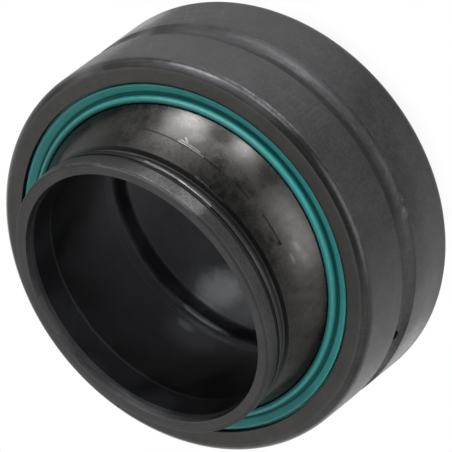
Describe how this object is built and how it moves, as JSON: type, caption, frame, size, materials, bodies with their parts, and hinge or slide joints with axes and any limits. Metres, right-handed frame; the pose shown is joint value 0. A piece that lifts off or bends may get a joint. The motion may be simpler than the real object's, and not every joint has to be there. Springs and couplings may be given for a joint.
{
  "type": "pivot bearing",
  "caption": "Sealed spherical plain pivot bearing: a bored steel ball with a neck at each end swivels in a grooved steel outer ring with teal lipped seals.",
  "frame": {"origin": "centre of the ball, which is also the centre of the inner ring and of the outer ring", "axes": "+Z along the inner ring's bore, from the end that it stands on towards the end that the picture shows; +X is the axis that the outer ring is swivelled about; +Y makes the frame right-handed, and the outer ring's front face leans towards -Y"},
  "size_m": [0.095, 0.0992, 0.063],
  "materials": {
    "inner_steel": "bearing steel with a thin, dark phosphate coat, oiled and half gloss, with lighter run-in patches on the ball",
    "outer_steel": "bearing steel with a dark grey-brown phosphate coat, satin, ground on the outside",
    "seal_rubber": "moulded teal elastomer, half gloss"
  },
  "bodies": {
    "inner_ring": {"inner_ring": "inner_steel"},
    "seals": {"front_seal": "seal_rubber", "rear_seal": "seal_rubber"},
    "outer_ring": {"outer_ring": "outer_steel"}
  },
  "joints": [
    {"name": "swivel", "type": "hinge", "parent": "inner_ring", "child": "seals", "pos_m": [0, 0, 0], "axis": [1, 0, 0], "range_deg": [-20.84, 0]},
    {"name": "turn", "type": "hinge", "parent": "seals", "child": "outer_ring", "pos_m": [0, 0, 0], "axis": [0, -0.1809, 0.9835], "continuous": true}
  ]
}
